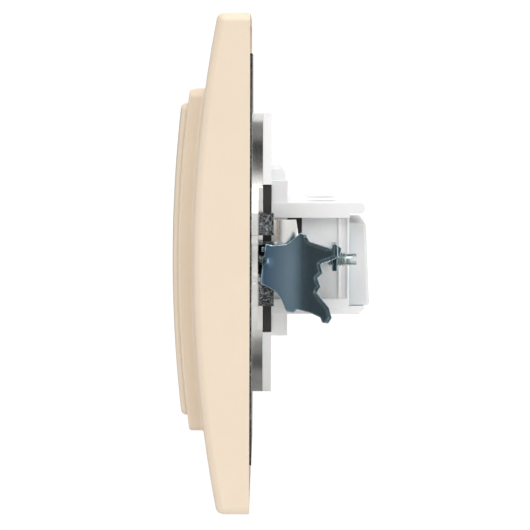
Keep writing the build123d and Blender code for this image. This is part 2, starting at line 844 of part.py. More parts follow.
# a steel clip around each pair of leaves keeps their grip
with BuildPart() as clip_springs:
    with BuildSketch(Plane.XY.offset(socket_z)):
        for x in (pin_x, -pin_x):
            spring_out = spine_width / 2 + spring_gauge + running_clearance
            for side in (1, -1):
                with BuildLine():
                    Polyline(
                        (x + side * (clip_opening + contact_gauge + spring_gauge), clip_waist),
                        (x + side * (spring_out - spring_gauge / 2), clip_hip),
                        (x + side * (spring_out - spring_gauge / 2), spine_front),
                    )
                trace(line_width=spring_gauge)
    extrude(amount=clip_height / 4, both=True)
    mirror(about=Plane.XY)
clip_springs.part.label = "clip_springs"
export_step(clip_springs.part, "parts/clip_springs.step")

# ---------------------------------------------------------------- terminals
with BuildPart() as neutral_terminal:
    with BuildSketch(facing_room(terminal_rear)):
        with Locations((pin_x, 0)):
            RectangleRounded(terminal_width, terminal_height, terminal_round)
    extrude(amount=terminal_rear - terminal_front)
    with BuildSketch(facing_room(terminal_rear)):
        with Locations((pin_x, wire_pitch / 2), (pin_x, -wire_pitch / 2)):
            Circle(wire_radius)
    extrude(amount=terminal_rear - terminal_front - terminal_floor, mode=Mode.SUBTRACT)
    with BuildSketch(Plane.XY.offset(wire_pitch / 2)):
        with Locations((pin_x, terminal_mid)):
            Circle(terminal_screw_radius + running_clearance)
    extrude(amount=terminal_height, mode=Mode.SUBTRACT)
    with BuildSketch(Plane.XY.offset(-wire_pitch / 2)):
        with Locations((pin_x, terminal_mid)):
            Circle(terminal_screw_radius + running_clearance)
    extrude(amount=-terminal_height, mode=Mode.SUBTRACT)
neutral_terminal.part.label = "neutral_terminal"
export_step(neutral_terminal.part, "parts/neutral_terminal.step")

with BuildPart() as line_terminal:
    mirror(neutral_terminal.part, about=Plane.YZ)
line_terminal.part.label = "line_terminal"
export_step(line_terminal.part, "parts/line_terminal.step")

# the four clamping screws, backed off so that a wire can go in
with BuildPart() as terminal_screw_neutral_upper:
    with BuildSketch(Plane.XY.offset(terminal_screw_tip)):
        with Locations((pin_x, terminal_mid)):
            Circle(terminal_screw_radius)
    extrude(amount=terminal_head_top - terminal_screw_tip)
    with BuildSketch(Plane.XY.offset(terminal_head_bottom)):
        with Locations((pin_x, terminal_mid)):
            Circle(terminal_screw_head)
    extrude(amount=terminal_head_top - terminal_head_bottom)
    with BuildSketch(Plane.XY.offset(terminal_head_top - driver_slot)):
        with Locations((pin_x, terminal_mid)):
            Rectangle(2 * terminal_screw_head, driver_slot, rotation=terminal_slot_turn)
    extrude(amount=driver_slot, mode=Mode.SUBTRACT)
terminal_screw_neutral_upper.part.label = "terminal_screw_neutral_upper"
export_step(terminal_screw_neutral_upper.part, "parts/terminal_screw_neutral_upper.step")

with BuildPart() as terminal_screw_neutral_lower:
    mirror(terminal_screw_neutral_upper.part, about=Plane.XY)
terminal_screw_neutral_lower.part.label = "terminal_screw_neutral_lower"
export_step(terminal_screw_neutral_lower.part, "parts/terminal_screw_neutral_lower.step")

with BuildPart() as terminal_screw_line_upper:
    mirror(terminal_screw_neutral_upper.part, about=Plane.YZ)
terminal_screw_line_upper.part.label = "terminal_screw_line_upper"
export_step(terminal_screw_line_upper.part, "parts/terminal_screw_line_upper.step")

with BuildPart() as terminal_screw_line_lower:
    mirror(terminal_screw_line_upper.part, about=Plane.XY)
terminal_screw_line_lower.part.label = "terminal_screw_line_lower"
export_step(terminal_screw_line_lower.part, "parts/terminal_screw_line_lower.step")

with BuildPart() as terminal_cover:
    with BuildSketch(Plane.YZ):
        with BuildLine():
            Polyline(
                (box_rear, rear_cover_top),
                (rear_cover_end_top, rear_cover_top),
                (rear_cover_end_bottom, rear_cover_bottom),
                (box_rear, rear_cover_bottom),
                close=True,
            )
        make_face()
    extrude(amount=rear_cover_width / 2, both=True)
    fillet(terminal_cover.faces().sort_by(Axis.Y)[-1].edges(), rear_cover_round)
    # two plugs fit in the terminal pockets
    with BuildSketch(facing_room(box_rear)):
        with GridLocations(pin_pitch, 0, 2, 1):
            Rectangle(terminal_width, terminal_height)
    extrude(amount=box_rear - terminal_rear - terminal_clearance)
    # wire holes with a flat seat at each mouth
    with BuildSketch(facing_room(rear_cover_end_bottom)):
        with GridLocations(pin_pitch, wire_pitch, 2, 2):
            Circle(wire_seat_radius)
    extrude(amount=rear_cover_end_bottom - wire_seat, mode=Mode.SUBTRACT)
    with BuildSketch(facing_room(wire_seat)):
        with GridLocations(pin_pitch, wire_pitch, 2, 2):
            Circle(wire_hole_radius)
    extrude(amount=wire_seat - terminal_rear, mode=Mode.SUBTRACT)
terminal_cover.part.label = "terminal_cover"
export_step(terminal_cover.part, "parts/terminal_cover.step")

# ---------------------------------------------------------------- claws
with BuildPart() as claw_right:
    # the plate runs straight back, then bends outwards; its outline is cut from the side
    bend_end = tab_front + claw_gauge * 2
    bend_reach = (bend_end - claw_bend_y) * tan(radians(claw_bend))
    plate_x = claw_inner + claw_gauge / 2
    with BuildSketch(Plane.XY.offset(-claw_height / 2)):
        with BuildLine():
            FilletPolyline(
                (plate_x, 0),
                (plate_x, claw_bend_y),
                (plate_x + bend_reach, bend_end),
                radius=claw_bend_radius,
            )
        trace(line_width=claw_gauge)
    extrude(amount=claw_height)
    with BuildSketch(Plane.YZ):
        with BuildLine():
            Polyline(*claw_outline, close=True)
        make_face()
        fillet(vertices(), claw_round)
    extrude(amount=2 * claw_face, mode=Mode.INTERSECT)
    # the rear tab is folded inwards and forked to straddle the screw over the whole swing
    tab_root_x = claw_inner + (tab_front - claw_bend_y) * tan(radians(claw_bend)) + claw_gauge / 2
    with BuildSketch(facing_room(tab_front + tab_gauge)):
        with BuildLine():
            Polyline(
                (tab_inner_x, tab_bottom),
                (tab_inner_x, tab_top),
                (tab_root_x, tab_top),
                (tab_root_x, tab_top - tab_root),
                (claw_inner, tab_bottom),
                close=True,
            )
        make_face()
        fork_half = claw_screw_radius + tab_slot_play
        with Locations((claw_screw_x, 0)):
            Circle(fork_half, mode=Mode.SUBTRACT)
            Rectangle(2 * tab_reach, 2 * fork_half, align=(Align.MAX, Align.CENTER), mode=Mode.SUBTRACT)
    extrude(amount=tab_gauge)
    # lugs folded inwards turn on the pivot pins
    for z in (lug_inner + claw_gauge / 2, -lug_inner - claw_gauge / 2):
        with BuildSketch(Plane.XY.offset(z)):
            with Locations((claw_pivot_x, claw_pivot_y)):
                Circle(claw_lug_radius)
            with Locations(((claw_pivot_x + claw_inner) / 2, claw_pivot_y)):
                Rectangle(claw_inner - claw_pivot_x + claw_gauge, 2 * lug_half)
            with Locations((claw_pivot_x, claw_pivot_y)):
                Circle(claw_pin_radius + running_clearance, mode=Mode.SUBTRACT)
        extrude(amount=claw_gauge / 2, both=True)
claw_right.part.label = "claw_right"
export_step(claw_right.part, "parts/claw_right.step")

with BuildPart() as claw_left:
    mirror(claw_right.part, about=Plane.YZ)
claw_left.part.label = "claw_left"
export_step(claw_left.part, "parts/claw_left.step")

with BuildPart() as claw_pins:
    pin_start = lug_inner
    pin_end = arm_inner + ear_width
    for z in (pin_start, -pin_end):
        with BuildSketch(Plane.XY.offset(z)):
            with GridLocations(2 * claw_pivot_x, 0, 2, 1):
                with Locations((0, claw_pivot_y)):
                    Circle(claw_pin_radius)
        extrude(amount=pin_end - pin_start)
claw_pins.part.label = "claw_pins"
export_step(claw_pins.part, "parts/claw_pins.step")

with BuildPart() as claw_screw_right:
    with BuildSketch(facing_room(claw_screw_tip)):
        with Locations((claw_screw_x, 0)):
            Circle(claw_screw_radius)
    extrude(amount=claw_screw_tip + yoke_thickness)
    chamfer(claw_screw_right.edges().sort_by(Axis.Y)[-1], claw_tip_chamfer)
    with BuildSketch(facing_room(-yoke_thickness)):
        with Locations((claw_screw_x, 0)):
            Circle(claw_screw_head)
    extrude(amount=claw_screw_head_height)
    with BuildSketch(facing_room(driver_slot - yoke_thickness - claw_screw_head_height)):
        with Locations((claw_screw_x, 0)):
            Rectangle(2 * claw_screw_head, driver_slot)
    extrude(amount=driver_slot, mode=Mode.SUBTRACT)
    with BuildSketch(facing_room(claw_screw_tip)):
        with Locations((claw_screw_x, 0)):
            Rectangle(2 * claw_screw_radius, tip_slot)
    extrude(amount=driver_slot, mode=Mode.SUBTRACT)
claw_screw_right.part.label = "claw_screw_right"
export_step(claw_screw_right.part, "parts/claw_screw_right.step")

with BuildPart() as claw_screw_left:
    mirror(claw_screw_right.part, about=Plane.YZ)
claw_screw_left.part.label = "claw_screw_left"
export_step(claw_screw_left.part, "parts/claw_screw_left.step")
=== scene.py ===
"""Looks of the duplex wall outlet: finishes for the CAD parts, formed claws and threaded screws."""

import json
import math

import bmesh
import bpy
import numpy as np
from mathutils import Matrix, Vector
from mathutils.kdtree import KDTree


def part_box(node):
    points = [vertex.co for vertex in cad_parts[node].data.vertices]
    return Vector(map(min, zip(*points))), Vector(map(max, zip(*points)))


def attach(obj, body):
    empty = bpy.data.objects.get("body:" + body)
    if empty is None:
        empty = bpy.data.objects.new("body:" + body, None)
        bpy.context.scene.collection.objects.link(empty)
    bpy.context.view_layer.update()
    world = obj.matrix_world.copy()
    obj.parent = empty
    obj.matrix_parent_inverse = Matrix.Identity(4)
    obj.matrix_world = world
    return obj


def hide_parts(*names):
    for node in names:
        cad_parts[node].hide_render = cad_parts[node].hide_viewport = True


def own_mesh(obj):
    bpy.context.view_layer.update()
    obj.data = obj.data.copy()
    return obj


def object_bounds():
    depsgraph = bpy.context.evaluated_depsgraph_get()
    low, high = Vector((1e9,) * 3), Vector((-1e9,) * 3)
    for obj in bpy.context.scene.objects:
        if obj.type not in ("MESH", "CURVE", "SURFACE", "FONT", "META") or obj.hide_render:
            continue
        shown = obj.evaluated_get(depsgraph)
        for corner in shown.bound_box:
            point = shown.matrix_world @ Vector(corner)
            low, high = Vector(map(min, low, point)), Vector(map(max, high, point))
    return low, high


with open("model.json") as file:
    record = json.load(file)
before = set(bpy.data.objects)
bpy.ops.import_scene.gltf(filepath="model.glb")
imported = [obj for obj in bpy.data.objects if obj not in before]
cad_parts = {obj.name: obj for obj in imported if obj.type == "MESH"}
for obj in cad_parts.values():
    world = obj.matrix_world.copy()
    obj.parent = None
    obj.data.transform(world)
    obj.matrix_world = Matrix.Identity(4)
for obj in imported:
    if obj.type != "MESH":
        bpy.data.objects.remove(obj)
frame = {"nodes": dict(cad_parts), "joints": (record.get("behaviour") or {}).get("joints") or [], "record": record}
cad_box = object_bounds()
nodes = frame["nodes"]

MM = 0.001
SIDES = (("right", 1), ("left", -1))


# ---------------------------------------------------------------- finishes
class Finish:
    """A Principled material and the few nodes that its detail needs."""

    def __init__(self, name, **constants):
        self.material = bpy.data.materials.new(name)
        self.material.use_nodes = True
        self.tree = self.material.node_tree
        self.shader = self.tree.nodes["Principled BSDF"]
        for socket, value in constants.items():
            self.shader.inputs[socket.replace("_", " ")].default_value = value
        place = self.tree.nodes.new("ShaderNodeTexCoord")
        self.place = place.outputs["Object"]
        self.normal = None

    def link(self, source, target):
        self.tree.links.new(source, target)

    def stretched(self, stretch):
        """Object coordinates, stretched along each axis."""
        mapping = self.tree.nodes.new("ShaderNodeMapping")
        mapping.inputs["Scale"].default_value = stretch
        self.link(self.place, mapping.inputs["Vector"])
        return mapping.outputs["Vector"]

    def noise(self, grain, detail=3.0, stretch=(1, 1, 1), distortion=0.0):
        """Noise whose features are about grain metres across."""
        texture = self.tree.nodes.new("ShaderNodeTexNoise")
        texture.inputs["Scale"].default_value = 1 / grain
        texture.inputs["Detail"].default_value = detail
        texture.inputs["Distortion"].default_value = distortion
        self.link(self.stretched(stretch), texture.inputs["Vector"])
        return texture.outputs["Fac"]

    def cells(self, grain):
        """Distance to the nearest of points about grain metres apart."""
        texture = self.tree.nodes.new("ShaderNodeTexVoronoi")
        texture.inputs["Scale"].default_value = 1 / grain
        self.link(self.place, texture.inputs["Vector"])
        return texture.outputs["Distance"]

    def spread(self, value, low, high, start=0.3, end=0.7):
        """value, from start to end, turned into low to high."""
        node = self.tree.nodes.new("ShaderNodeMapRange")
        node.inputs["From Min"].default_value = start
        node.inputs["From Max"].default_value = end
        node.inputs["To Min"].default_value = low
        node.inputs["To Max"].default_value = high
        self.link(value, node.inputs["Value"])
        return node.outputs["Result"]

    def along(self, axis, start, end):
        """0 to 1 as the place goes from start to end along X, Y or Z."""
        split = self.tree.nodes.new("ShaderNodeSeparateXYZ")
        self.link(self.place, split.inputs["Vector"])
        return self.spread(split.outputs[axis], 0, 1, start, end)

    def size_of(self, axis):
        """The distance from the middle along X, Y or Z, on either side."""
        split = self.tree.nodes.new("ShaderNodeSeparateXYZ")
        self.link(self.place, split.inputs["Vector"])
        node = self.tree.nodes.new("ShaderNodeMath")
        node.operation = "ABSOLUTE"
        self.link(split.outputs[axis], node.inputs[0])
        return node.outputs["Value"]

    def combined(self, operation, first, second):
        node = self.tree.nodes.new("ShaderNodeMath")
        node.operation = operation
        self.link(first, node.inputs[0])
        self.link(second, node.inputs[1])
        return node.outputs["Value"]

    def times(self, first, second):
        return self.combined("MULTIPLY", first, second)

    def plus(self, first, second):
        return self.combined("ADD", first, second)

    def larger(self, first, second):
        return self.combined("MAXIMUM", first, second)

    def edges(self, low, high, start, end):
        """low to high by how far the surface stands out, from start to end, where 0.5 is flat."""
        place = self.tree.nodes.new("ShaderNodeNewGeometry")
        return self.spread(place.outputs["Pointiness"], low, high, start, end)

    def mixed(self, amount, first, second):
        """Two colours, or colour sockets, mixed by amount."""
        node = self.tree.nodes.new("ShaderNodeMix")
        node.data_type = "RGBA"
        self.link(amount, node.inputs["Factor"])
        for socket, colour in ((node.inputs[6], first), (node.inputs[7], second)):
            if isinstance(colour, tuple):
                socket.default_value = (*colour, 1)
            else:
                self.link(colour, socket)
        return node.outputs[2]

    def colour(self, socket):
        self.link(socket, self.shader.inputs["Base Color"])

    def roughness(self, socket):
        self.link(socket, self.shader.inputs["Roughness"])

    def rounded(self, radius):
        """Edges catch the light as if they had this radius."""
        node = self.tree.nodes.new("ShaderNodeBevel")
        node.samples = 4
        node.inputs["Radius"].default_value = radius
        self.normal = node.outputs["Normal"]

    def bump(self, height, depth):
        node = self.tree.nodes.new("ShaderNodeBump")
        node.inputs["Distance"].default_value = depth
        self.link(height, node.inputs["Height"])
        if self.normal is not None:
            self.link(self.normal, node.inputs["Normal"])
        self.normal = node.outputs["Normal"]
        self.link(self.normal, self.shader.inputs["Normal"])


def shaded(colour, share):
    return tuple(share * part for part in colour)


def moulded(name, light, dark, rough, edge, **constants):
    """A smooth moulding: faint cloudy colour, uneven gloss and a fine spark-eroded grain."""
    finish = Finish(name, **constants)
    clouds = finish.noise(9 * MM, detail=4)
    specks = finish.noise(0.35 * MM, detail=2)
    tint = finish.mixed(finish.spread(clouds, 0, 1), dark, light)
    dust = finish.spread(specks, 0.22, 0, 0.3, 0.42)
    finish.colour(finish.mixed(dust, tint, shaded(dark, 0.9)))
    finish.roughness(finish.spread(clouds, *rough))
    finish.rounded(edge)
    finish.bump(finish.noise(0.22 * MM, detail=2), 0.004 * MM)
    finish.bump(finish.noise(6 * MM), 0.03 * MM)
    return finish.material


def pitted(finish, depth):
    """Small pits a third of a millimetre apart."""
    finish.bump(finish.spread(finish.cells(0.3 * MM), 0, 1, 0.05, 0.4), depth)


def plated(name, light, dark, rough, grain, edge, stretch=(1, 1, 1), hollow_shade=0.0):
    """Plated metal: rolled grain, patches of tint, small pits and, if asked for, painted shade that darkens its
    hollows.
    """
    finish = Finish(name, Metallic=1.0)
    patches = finish.noise(2.5 * MM, detail=4, distortion=0.6)
    streaks = finish.noise(grain, detail=4, stretch=stretch)
    tint = finish.mixed(finish.spread(patches, 0, 1), dark, light)
    tint = finish.mixed(finish.spread(streaks, 0.35, 0, 0.32, 0.55), tint, shaded(dark, 0.8))
    if hollow_shade:
        # painted shade: where the surface curves inwards, its colour is darkened
        tint = finish.mixed(finish.edges(hollow_shade, 0, 0.4, 0.49), tint, shaded(dark, 0.12))
    finish.colour(tint)
    finish.roughness(finish.spread(streaks, *rough))
    finish.rounded(edge)
    finish.bump(streaks, 0.006 * MM)
    pitted(finish, 0.012 * MM)
    return finish.material


# where the yoke's sheared rim starts from its edge, and how much its corners are cut
RIM = 0.3 * MM
YOKE_CORNER = 9 * MM
# where the torn arms fade in: across, at their front and at their rear
ARM_ACROSS = (23.8 * MM, 24.1 * MM)
ARM_FRONT = (1.0 * MM, 1.3 * MM)
ARM_REAR = (4.1 * MM, 3.7 * MM)


def yoke_steel():
    """Bright plate whose sheared rim, and the arms beside the claws, are dark and torn."""
    finish = Finish("bright_plated_steel", Metallic=1.0)
    patches = finish.noise(5 * MM, detail=4, distortion=0.5)
    grain = finish.noise(0.12 * MM, detail=3, stretch=(1, 0.25, 1))
    torn = finish.noise(0.3 * MM, detail=6, stretch=(1, 0.8, 1), distortion=1.0)
    across = finish.size_of("X")
    height = finish.size_of("Z")
    arms = finish.times(finish.spread(across, 0, 1, *ARM_ACROSS), finish.along("Y", *ARM_FRONT))
    arms = finish.times(arms, finish.along("Y", *ARM_REAR))
    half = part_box("yoke")[1][0]
    rim_span = (half - RIM, half - RIM / 2)
    rim = finish.larger(finish.spread(across, 0, 1, *rim_span), finish.spread(height, 0, 1, *rim_span))
    cut = 2 * half - YOKE_CORNER
    corner = finish.spread(finish.plus(across, height), 0, 1, cut - RIM, cut)
    sheared = finish.larger(arms, finish.larger(rim, corner))
    bright = finish.mixed(finish.spread(patches, 0, 1), (0.66, 0.65, 0.62), (0.8, 0.79, 0.77))
    scale = finish.spread(torn, 0, 1, 0.46, 0.68)
    rough_tint = finish.mixed(scale, (0.03, 0.032, 0.034), (0.34, 0.36, 0.37))
    finish.colour(finish.mixed(sheared, bright, rough_tint))
    finish.roughness(finish.spread(grain, 0.14, 0.26))
    finish.rounded(0.14 * MM)
    finish.bump(grain, 0.003 * MM)
    finish.bump(finish.times(torn, sheared), 0.12 * MM)
    return finish.material


def claw_steel():
    """Blue passivated sheet with painted reflection, bluest towards its front edge and duller and greener behind
    its bend, and a painted highlight on its raised edges.
    """
    finish = Finish("blue_passivated_steel", Metallic=1.0)
    patches = finish.noise(5 * MM, detail=4, distortion=0.4)
    rolled = finish.noise(0.6 * MM, detail=4)
    tint = finish.mixed(finish.spread(patches, 0, 1), (0.125, 0.19, 0.23), (0.15, 0.215, 0.265))
    # painted reflection: the colour changes along the claw, bluest and darker towards its front edge
    tint = finish.mixed(finish.along("Y", 6 * MM, 2 * MM), tint, (0.07, 0.13, 0.2))
    # painted reflection: duller and greener behind the bend
    tint = finish.mixed(finish.along("Y", 7.5 * MM, 10.5 * MM), tint, (0.105, 0.155, 0.18))
    # painted highlight: raised edges turn pale cyan
    finish.colour(finish.mixed(finish.edges(0, 1, 0.505, 0.56), tint, (0.5, 0.66, 0.74)))
    finish.roughness(finish.spread(rolled, 0.17, 0.24))
    finish.rounded(0.12 * MM)
    finish.bump(rolled, 0.004 * MM)
    pitted(finish, 0.003 * MM)
    return finish.material


finishes = {
    "cream_plastic": moulded(
        "cream_satin_plastic",
        light=(0.78, 0.655, 0.515),
        dark=(0.765, 0.64, 0.5),
        rough=(0.3, 0.36),
        edge=0.12 * MM,
        Specular_IOR_Level=0.45,
        Subsurface_Weight=0.06,
        Subsurface_Scale=1.2 * MM,
    ),
    "white_plastic": moulded(
        "white_matt_plastic",
        light=(0.82, 0.825, 0.825),
        dark=(0.8, 0.805, 0.805),
        rough=(0.42, 0.52),
        edge=0.14 * MM,
        Subsurface_Weight=0.08,
        Subsurface_Scale=1.5 * MM,
    ),
    "clear_white_plastic": moulded(
        "natural_translucent_plastic",
        light=(0.77, 0.785, 0.79),
        dark=(0.74, 0.755, 0.76),
        rough=(0.3, 0.4),
        edge=0.2 * MM,
        Subsurface_Weight=0.35,
        Subsurface_Scale=2.5 * MM,
        Transmission_Weight=0.12,
    ),
    # near black: partly the housing's own colour, partly painted shade of the device's interior that the housing
    # stands in for
    "dark_plastic": moulded(
        "dark_housing_plastic_and_painted_shade",
        light=(0.028, 0.026, 0.024),
        dark=(0.016, 0.015, 0.014),
        rough=(0.5, 0.62),
        edge=0.15 * MM,
    ),
    "plated_steel": yoke_steel(),
    "blue_zinc_steel": claw_steel(),
    "zinc_screw": plated(
        "zinc_plated_steel",
        light=(0.62, 0.68, 0.68),
        dark=(0.4, 0.47, 0.46),
        rough=(0.2, 0.36),
        grain=0.2 * MM,
        edge=0.08 * MM,
        # painted shade darkens the screws' hollows and the bottoms of their slots
        hollow_shade=0.9,
    ),
    "brass": plated(
        "rolled_brass",
        light=(0.83, 0.63, 0.3),
        dark=(0.7, 0.5, 0.22),
        rough=(0.18, 0.36),
        grain=0.15 * MM,
        edge=0.08 * MM,
        stretch=(1, 0.2, 1),
    ),
    "spring_steel": plated(
        "drawn_spring_steel",
        light=(0.56, 0.57, 0.58),
        dark=(0.4, 0.4, 0.41),
        rough=(0.22, 0.4),
        grain=0.1 * MM,
        edge=0.05 * MM,
    ),
}

node_slots = {piece["node"]: piece["material_slot"] for piece in frame["record"]["subparts"]}
for node_name, obj in nodes.items():
    obj.data.materials.clear()
    obj.data.materials.append(finishes[node_slots[node_name]])


# ---------------------------------------------------------------- meshes
WELD_DISTANCE = 0.001 * MM


def add_piece(name, mesh, body, replaced):
    """A new object that rides on a body and takes the finish of the node that it stands for."""
    obj = bpy.data.objects.new(name, mesh)
    bpy.context.scene.collection.objects.link(obj)
    slot = node_slots[replaced]
    mesh.materials.clear()
    mesh.materials.append(finishes[slot])
    mesh.shade_smooth()
    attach(obj, body)
    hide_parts(replaced)
    return obj


def remeshed(node, voxel, rounding):
    """A node's shape as an even mesh with softened edges."""
    copy = bpy.data.objects.new("forming", nodes[node].data.copy())
    bpy.context.scene.collection.objects.link(copy)
    weld = copy.modifiers.new("weld", "WELD")
    weld.merge_threshold = WELD_DISTANCE
    remesh = copy.modifiers.new("remesh", "REMESH")
    remesh.mode = "VOXEL"
    remesh.voxel_size = voxel
    smooth = copy.modifiers.new("smooth", "SMOOTH")
    smooth.factor = 0.5
    smooth.iterations = rounding
    graph = bpy.context.evaluated_depsgraph_get()
    mesh = bpy.data.meshes.new_from_object(copy.evaluated_get(graph))
    bpy.data.objects.remove(copy)
    return mesh


def read_points(mesh):
    points = np.empty(len(mesh.vertices) * 3)
    mesh.vertices.foreach_get("co", points)
    return points.reshape(-1, 3)


def write_points(mesh, points):
    mesh.vertices.foreach_set("co", points.ravel())
    mesh.update()


# ---------------------------------------------------------------- claws
CLAW_VOXEL = 0.11 * MM
CLAW_ROUNDING = 3
# a claw's plate lies outside the base's flank; its lugs and tab lie inside
PLATE_OVERLAP = 0.3 * MM
# how little an edge face looks sideways, and how much a rear one looks to the rear
EDGE_SIDEWAYS = 0.55
REAR_FACING = 0.35
CURL_START_Y = 9.6 * MM
CURL_WIDTH = 0.85 * MM
CURL_RISE = 0.62 * MM
DIMPLE_Y = 2.75 * MM
DIMPLE_Z = -0.35 * MM
DIMPLE_RADIUS = 0.75 * MM
DIMPLE_RISE = 0.28 * MM
DIMPLE_FALL = 2.5
LIP_WIDTH = 0.7 * MM
LIP_DROP = 0.3 * MM
ROLL_WIDTH = 5 * MM
ROLL_DROP = 0.13 * MM
BEND_Y = 8.9 * MM
BEND_WIDTH = 2 * MM
BEND_SLOPE = math.tan(math.radians(10))
# half the length of the tight bend that the CAD claw already has
MADE_BEND_WIDTH = 0.26 * MM


def eased_bend(past, width):
    """A slope of 1 that starts at 0, eased over width on either side."""
    return np.where(np.abs(past) < width, (past + width) ** 2 / (4 * width), np.maximum(past, 0))


def form_claw(side, sign):
    """The stamped claw: rear edges curled outwards, a rolled front edge, a dimple and an eased bend."""
    node = f"claw_{side}"
    mesh = remeshed(node, CLAW_VOXEL, CLAW_ROUNDING)
    points = read_points(mesh)
    normals = np.empty(len(mesh.vertices) * 3)
    mesh.vertices.foreach_get("normal", normals)
    normals = normals.reshape(-1, 3)
    outward = points[:, 0] * sign
    front_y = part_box(node)[0][1]
    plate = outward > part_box("base")[1][0] - PLATE_OVERLAP
    edge = plate & (np.abs(normals[:, 0]) < EDGE_SIDEWAYS)
    rear = np.flatnonzero(edge & (normals[:, 1] > REAR_FACING) & (points[:, 1] > CURL_START_Y))
    tree = KDTree(len(rear))
    for index in rear:
        tree.insert(Vector((0, points[index, 1], points[index, 2])), int(index))
    tree.balance()
    shift = np.zeros(len(points))
    for index in np.flatnonzero(plate & (points[:, 1] > CURL_START_Y - CURL_WIDTH)):
        _, _, gap = tree.find(Vector((0, points[index, 1], points[index, 2])))
        if gap < CURL_WIDTH:
            shift[index] = CURL_RISE * (1 - gap / CURL_WIDTH) ** 2
    spot = np.hypot(points[:, 1] - DIMPLE_Y, points[:, 2] - DIMPLE_Z) / DIMPLE_RADIUS
    shift += np.where(plate, DIMPLE_RISE * np.exp(-DIMPLE_FALL * spot**2), 0)
    for width, drop in ((LIP_WIDTH, LIP_DROP), (ROLL_WIDTH, ROLL_DROP)):
        near = np.clip(1 - (points[:, 1] - front_y) / width, 0, 1)
        shift -= np.where(plate, drop * near**2, 0)
    past = points[:, 1] - BEND_Y
    easing = eased_bend(past, BEND_WIDTH) - eased_bend(past, MADE_BEND_WIDTH)
    shift += np.where(plate, BEND_SLOPE * easing, 0)
    points[:, 0] += sign * shift
    write_points(mesh, points)
    add_piece(f"claw_{side}_formed", mesh, node, node)


for claw_side, claw_sign in SIDES:
    form_claw(claw_side, claw_sign)


# ---------------------------------------------------------------- screws
THREAD_SIDES = 40
THREAD_STEPS = 9


def thread_rows(start, end, pitch, radius, depth):
    """Rows of (length, list of radii) for a thread that fades in and out at its ends."""
    steps = round((end - start) / pitch * THREAD_STEPS)
    rows = []
    for step in range(steps + 1):
        along = start + (end - start) * step / steps
        fade = min(1.0, (along - start) / pitch, (end - along) / pitch)
        radii = []
        for side in range(THREAD_SIDES):
            turn = (along / pitch - side / THREAD_SIDES) % 1
            crest = abs(2 * turn - 1)
            crest = crest * crest * (3 - 2 * crest)
            radii.append(radius - depth + depth * crest * fade)
        rows.append((along, radii))
    return rows


def plain_row(along, radius):
    return (along, [radius] * THREAD_SIDES)


def turned_mesh(name, rows):
    """A closed turned form about +Z, from rows of (length, radii)."""
    form = bmesh.new()
    rings = []
    for along, radii in rows:
        ring = []
        for side, radius in enumerate(radii):
            angle = 2 * math.pi * side / THREAD_SIDES
            ring.append(form.verts.new((radius * math.cos(angle), radius * math.sin(angle), along)))
        rings.append(ring)
    for lower, upper in zip(rings, rings[1:]):
        for side in range(THREAD_SIDES):
            other = (side + 1) % THREAD_SIDES
            form.faces.new((lower[side], lower[other], upper[other], upper[side]))
    form.faces.new(reversed(rings[0]))
    form.faces.new(rings[-1])
    mesh = bpy.data.meshes.new(name)
    form.to_mesh(mesh)
    form.free()
    return mesh


def cut_slot(mesh, width, bottom, top, reach, turn=0.0):
    """A driver slot cut across a turned form between two heights."""
    cutter = bmesh.new()
    corners = []
    for along in (bottom, top):
        for x, y in ((-reach, -width / 2), (reach, -width / 2), (reach, width / 2), (-reach, width / 2)):
            spun_x = x * math.cos(turn) - y * math.sin(turn)
            spun_y = x * math.sin(turn) + y * math.cos(turn)
            corners.append(cutter.verts.new((spun_x, spun_y, along)))
    for face in ((3, 2, 1, 0), (4, 5, 6, 7), (0, 1, 5, 4), (1, 2, 6, 5), (2, 3, 7, 6), (3, 0, 4, 7)):
        cutter.faces.new([corners[index] for index in face])
    tool_mesh = bpy.data.meshes.new("slot")
    cutter.to_mesh(tool_mesh)
    cutter.free()
    tool = bpy.data.objects.new("slot", tool_mesh)
    work = bpy.data.objects.new("work", mesh)
    for obj in (tool, work):
        bpy.context.scene.collection.objects.link(obj)
    cut = work.modifiers.new("slot", "BOOLEAN")
    cut.operation = "DIFFERENCE"
    cut.solver = "EXACT"
    cut.object = tool
    graph = bpy.context.evaluated_depsgraph_get()
    result = bpy.data.meshes.new_from_object(work.evaluated_get(graph))
    bpy.data.objects.remove(work)
    bpy.data.objects.remove(tool)
    return result


def soften(obj, width):
    """Rounds a piece's sharp edges and keeps its flat faces looking flat."""
    bevel = obj.modifiers.new("soft_edges", "BEVEL")
    bevel.width = width
    bevel.segments = 2
    bevel.limit_method = "ANGLE"
    bevel.angle_limit = math.radians(50)
    normals = obj.modifiers.new("flat_faces", "WEIGHTED_NORMAL")
    normals.keep_sharp = True


DOME_ROWS = 6
DOME_SHOULDER = 0.45
DOME_ROUNDNESS = 0.45


def domed_head(base, height, radius):
    """Rows of a low domed head that starts at base and rises by height."""
    shape = [plain_row(base, radius - 0.05 * MM), plain_row(base + 0.06 * MM, radius)]
    shape.append(plain_row(base + DOME_SHOULDER * height, radius))
    for step in range(1, DOME_ROWS):
        angle = math.pi / 2 * step / DOME_ROWS
        rise = DOME_SHOULDER + (1 - DOME_SHOULDER) * math.sin(angle)
        shape.append(plain_row(base + rise * height, radius * math.cos(angle) ** DOME_ROUNDNESS))
    return shape


def lie(mesh, columns, origin):
    """Puts a form made about +Z in place: its X, Y and Z axes go along the given directions."""
    points = read_points(mesh) @ np.array(columns, dtype=float)
    write_points(mesh, points + np.array(origin))


CLAW_PITCH = 0.45 * MM
CLAW_THREAD_DEPTH = 0.32 * MM
CLAW_SHANK_RADIUS = 1.28 * MM
CLAW_TIP_RADIUS = MM
CLAW_TIP_LENGTH = 1.75 * MM
CLAW_HEAD_HEIGHT = 1.5 * MM
SHANK_CLEARANCE = 0.03 * MM
TIP_CHAMFER = 0.12 * MM
TIP_NECK = 0.2 * MM
SLOT_WIDTH = 0.7 * MM
SLOT_DEPTH = 0.75 * MM
TIP_SLOT_WIDTH = 0.6 * MM
TIP_SLOT_DEPTH = 0.8 * MM


